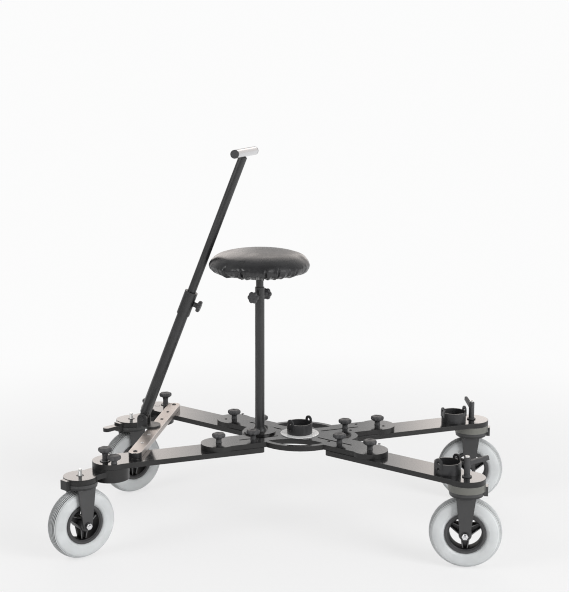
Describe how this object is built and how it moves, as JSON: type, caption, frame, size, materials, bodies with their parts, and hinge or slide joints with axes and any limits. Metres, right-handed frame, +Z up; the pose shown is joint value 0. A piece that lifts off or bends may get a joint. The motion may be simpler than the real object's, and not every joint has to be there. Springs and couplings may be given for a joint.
{
  "type": "camera dolly",
  "caption": "Folding camera dolly: flat arms on a slotted hub plate, swivel wheels with grey tyres, cups for tripod feet, a round padded seat and a telescopic push handle.",
  "frame": {"origin": "on the floor, under the middle of the whole object's box", "axes": "+X to the front, where the two clamped wheels are; +Y to the far side; +Z up"},
  "size_m": [1.2356, 0.7992, 1.1148],
  "materials": {
    "plate": "satin black anodised plate",
    "fork": "satin dark grey",
    "disc_grey": "satin mid grey",
    "steel": "bright plated",
    "aluminium": "satin anodised",
    "white_disc": "white enamel",
    "tube": "satin black",
    "knob": "matt moulded",
    "rim": "satin moulded",
    "tyre": "matt grey rubber",
    "leather": "soft sheen"
  },
  "bodies": {
    "chassis": {"hub_plate": "plate", "centre_disc": "white_disc", "cup_centre": "tube", "arm_rear_near": "plate", "arm_rear_far": "plate", "cross_bar": "aluminium", "handle_bracket": "plate", "handle_pin": "steel", "seat_post": "tube"},
    "arm_body_front_near": {"arm_front_near": "plate", "cup_front_near": "tube", "swivel_disc_front_near": "disc_grey"},
    "lever_body_front_near": {"lever_front_near": "knob"},
    "fork_body_front_near": {"fork_front_near": "fork", "axle_front_near": "steel"},
    "wheel_body_front_near": {"tyre_front_near": "tyre", "rim_front_near": "rim"},
    "knob_outer_body_front_near": {"knob_outer_front_near": "knob"},
    "knob_inner_body_front_near": {"knob_inner_front_near": "knob"},
    "arm_body_front_far": {"arm_front_far": "plate", "cup_front_far": "tube", "swivel_disc_front_far": "disc_grey"},
    "lever_body_front_far": {"lever_front_far": "knob"},
    "fork_body_front_far": {"fork_front_far": "fork", "axle_front_far": "steel"},
    "wheel_body_front_far": {"tyre_front_far": "tyre", "rim_front_far": "rim"},
    "knob_outer_body_front_far": {"knob_outer_front_far": "knob"},
    "knob_inner_body_front_far": {"knob_inner_front_far": "knob"},
    "link_body_rear_near": {"link_rear_near": "plate"},
    "knob_end_near_tall_body": {"knob_end_near_tall": "knob"},
    "knob_end_near_low_body": {"knob_end_near_low": "knob"},
    "fork_body_rear_near": {"fork_rear_near": "fork", "axle_rear_near": "steel"},
    "wheel_body_rear_near": {"tyre_rear_near": "tyre", "rim_rear_near": "rim"},
    "knob_outer_body_rear_near": {"knob_outer_rear_near": "knob"},
    "knob_inner_body_rear_near": {"knob_inner_rear_near": "knob"},
    "link_body_rear_far": {"link_rear_far": "plate"},
    "knob_end_far_tall_body": {"knob_end_far_tall": "knob"},
    "knob_end_far_low_body": {"knob_end_far_low": "knob"},
    "fork_body_rear_far": {"fork_rear_far": "fork", "axle_rear_far": "steel"},
    "wheel_body_rear_far": {"tyre_rear_far": "tyre", "rim_rear_far": "rim"},
    "knob_outer_body_rear_far": {"knob_outer_rear_far": "knob"},
    "knob_inner_body_rear_far": {"knob_inner_rear_far": "knob"},
    "handle_lower_body": {"handle_lower_tube": "tube"},
    "handle_upper_body": {"handle_upper_tube": "tube", "handle_grip": "aluminium", "handle_cap_near": "knob", "handle_cap_far": "knob"},
    "knob_handle_body": {"knob_handle": "knob"},
    "seat_riser_body": {"seat_inner_post": "tube"},
    "seat_body": {"seat_pan": "tube", "seat_cushion": "leather"},
    "knob_seat_near_body": {"knob_seat_near": "knob"},
    "knob_seat_far_body": {"knob_seat_far": "knob"}
  },
  "joints": [
    {"name": "fold_front_near", "type": "hinge", "parent": "chassis", "child": "arm_body_front_near", "pos_m": [0.23931, -0.07036, 0.2565], "axis": [0, 0, 1], "range_deg": [-18, 29]},
    {"name": "lever_turn_front_near", "type": "hinge", "parent": "arm_body_front_near", "child": "lever_body_front_near", "pos_m": [0.51776, -0.22983, 0.2562], "axis": [0, 0, 1], "range_deg": [-80, 80]},
    {"name": "swivel_front_near", "type": "hinge", "parent": "arm_body_front_near", "child": "fork_body_front_near", "pos_m": [0.51776, -0.22983, 0.2206], "axis": [0, 0, 1], "range_deg": [-90, 90]},
    {"name": "wheel_spin_front_near", "type": "hinge", "parent": "fork_body_front_near", "child": "wheel_body_front_near", "pos_m": [0.51776, -0.22983, 0.1], "axis": [0, 1, 0], "continuous": true},
    {"name": "knob_outer_turn_front_near", "type": "hinge", "parent": "chassis", "child": "knob_outer_body_front_near", "pos_m": [0.23931, -0.07036, 0.2715], "axis": [0, 0, 1], "range_deg": [-180, 180]},
    {"name": "knob_inner_turn_front_near", "type": "hinge", "parent": "chassis", "child": "knob_inner_body_front_near", "pos_m": [0.14682, -0.02085, 0.2715], "axis": [0, 0, 1], "range_deg": [-180, 180]},
    {"name": "fold_front_far", "type": "hinge", "parent": "chassis", "child": "arm_body_front_far", "pos_m": [0.23931, 0.18024, 0.2565], "axis": [0, 0, 1], "range_deg": [-29, 18]},
    {"name": "lever_turn_front_far", "type": "hinge", "parent": "arm_body_front_far", "child": "lever_body_front_far", "pos_m": [0.51776, 0.33971, 0.2562], "axis": [0, 0, 1], "range_deg": [-80, 60]},
    {"name": "swivel_front_far", "type": "hinge", "parent": "arm_body_front_far", "child": "fork_body_front_far", "pos_m": [0.51776, 0.33971, 0.2206], "axis": [0, 0, 1], "range_deg": [-90, 90]},
    {"name": "wheel_spin_front_far", "type": "hinge", "parent": "fork_body_front_far", "child": "wheel_body_front_far", "pos_m": [0.51776, 0.33971, 0.1], "axis": [0, 1, 0], "continuous": true},
    {"name": "knob_outer_turn_front_far", "type": "hinge", "parent": "chassis", "child": "knob_outer_body_front_far", "pos_m": [0.23931, 0.18024, 0.2715], "axis": [0, 0, 1], "range_deg": [-180, 180]},
    {"name": "knob_inner_turn_front_far", "type": "hinge", "parent": "chassis", "child": "knob_inner_body_front_far", "pos_m": [0.14682, 0.13073, 0.2715], "axis": [0, 0, 1], "range_deg": [-180, 180]},
    {"name": "link_swing_rear_near", "type": "hinge", "parent": "chassis", "child": "link_body_rear_near", "pos_m": [-0.4767, -0.22983, 0.2206], "axis": [0, 0, 1], "range_deg": [-60, 60]},
    {"name": "knob_end_near_tall_turn", "type": "hinge", "parent": "chassis", "child": "knob_end_near_tall_body", "pos_m": [-0.4887, -0.24382, 0.2562], "axis": [0, 0, 1], "range_deg": [-180, 180]},
    {"name": "knob_end_near_low_turn", "type": "hinge", "parent": "chassis", "child": "knob_end_near_low_body", "pos_m": [-0.4577, -0.26382, 0.2562], "axis": [0, 0, 1], "range_deg": [-180, 180]},
    {"name": "swivel_rear_near", "type": "hinge", "parent": "link_body_rear_near", "child": "fork_body_rear_near", "pos_m": [-0.5398, -0.31993, 0.2206], "axis": [0, 0, 1], "range_deg": [-90, 90]},
    {"name": "wheel_spin_rear_near", "type": "hinge", "parent": "fork_body_rear_near", "child": "wheel_body_rear_near", "pos_m": [-0.5398, -0.31993, 0.1], "axis": [0.7193, -0.6947, 0], "continuous": true},
    {"name": "knob_outer_turn_rear_near", "type": "hinge", "parent": "chassis", "child": "knob_outer_body_rear_near", "pos_m": [-0.19825, -0.07036, 0.2715], "axis": [0, 0, 1], "range_deg": [-180, 180]},
    {"name": "knob_inner_turn_rear_near", "type": "hinge", "parent": "chassis", "child": "knob_inner_body_rear_near", "pos_m": [-0.10577, -0.02085, 0.2715], "axis": [0, 0, 1], "range_deg": [-180, 180]},
    {"name": "link_swing_rear_far", "type": "hinge", "parent": "chassis", "child": "link_body_rear_far", "pos_m": [-0.4767, 0.33971, 0.2206], "axis": [0, 0, 1], "range_deg": [-60, 60]},
    {"name": "knob_end_far_tall_turn", "type": "hinge", "parent": "chassis", "child": "knob_end_far_tall_body", "pos_m": [-0.4537, 0.35671, 0.2562], "axis": [0, 0, 1], "range_deg": [-180, 180]},
    {"name": "knob_end_far_low_turn", "type": "hinge", "parent": "chassis", "child": "knob_end_far_low_body", "pos_m": [-0.50371, 0.33071, 0.2562], "axis": [0, 0, 1], "range_deg": [-180, 180]},
    {"name": "swivel_rear_far", "type": "hinge", "parent": "link_body_rear_far", "child": "fork_body_rear_far", "pos_m": [-0.5398, 0.2496, 0.2206], "axis": [0, 0, 1], "range_deg": [-90, 90]},
    {"name": "wheel_spin_rear_far", "type": "hinge", "parent": "fork_body_rear_far", "child": "wheel_body_rear_far", "pos_m": [-0.5398, 0.2496, 0.1], "axis": [0.7193, -0.6947, 0], "continuous": true},
    {"name": "knob_outer_turn_rear_far", "type": "hinge", "parent": "chassis", "child": "knob_outer_body_rear_far", "pos_m": [-0.19825, 0.18024, 0.2715], "axis": [0, 0, 1], "range_deg": [-180, 180]},
    {"name": "knob_inner_turn_rear_far", "type": "hinge", "parent": "chassis", "child": "knob_inner_body_rear_far", "pos_m": [-0.10577, 0.13073, 0.2715], "axis": [0, 0, 1], "range_deg": [-180, 180]},
    {"name": "handle_tilt", "type": "hinge", "parent": "chassis", "child": "handle_lower_body", "pos_m": [-0.45047, 0.05494, 0.3018], "axis": [0, 1, 0], "range_deg": [-75, 0]},
    {"name": "handle_extend", "type": "slide", "parent": "handle_lower_body", "child": "handle_upper_body", "axis": [0.3617, 0, 0.9323], "range_m": [-0.22, 0.09]},
    {"name": "knob_handle_turn", "type": "hinge", "parent": "handle_lower_body", "child": "knob_handle_body", "pos_m": [-0.29398, 0.05494, 0.64992], "axis": [0.9323, 0, -0.3617], "range_deg": [-180, 180]},
    {"name": "seat_height", "type": "slide", "parent": "chassis", "child": "seat_riser_body", "axis": [0, 0, 1], "range_m": [-0.036, 0]},
    {"name": "seat_turn", "type": "hinge", "parent": "seat_riser_body", "child": "seat_body", "pos_m": [-0.09847, 0.05494, 0.75], "axis": [0, 0, 1], "continuous": true},
    {"name": "knob_seat_near_turn", "type": "hinge", "parent": "chassis", "child": "knob_seat_near_body", "pos_m": [-0.1059, 0.03745, 0.682], "axis": [-0.3907, -0.9205, 0], "range_deg": [-180, 180]},
    {"name": "knob_seat_far_turn", "type": "hinge", "parent": "chassis", "child": "knob_seat_far_body", "pos_m": [-0.09105, 0.07243, 0.682], "axis": [0.3907, 0.9205, 0], "range_deg": [-180, 180]}
  ]
}
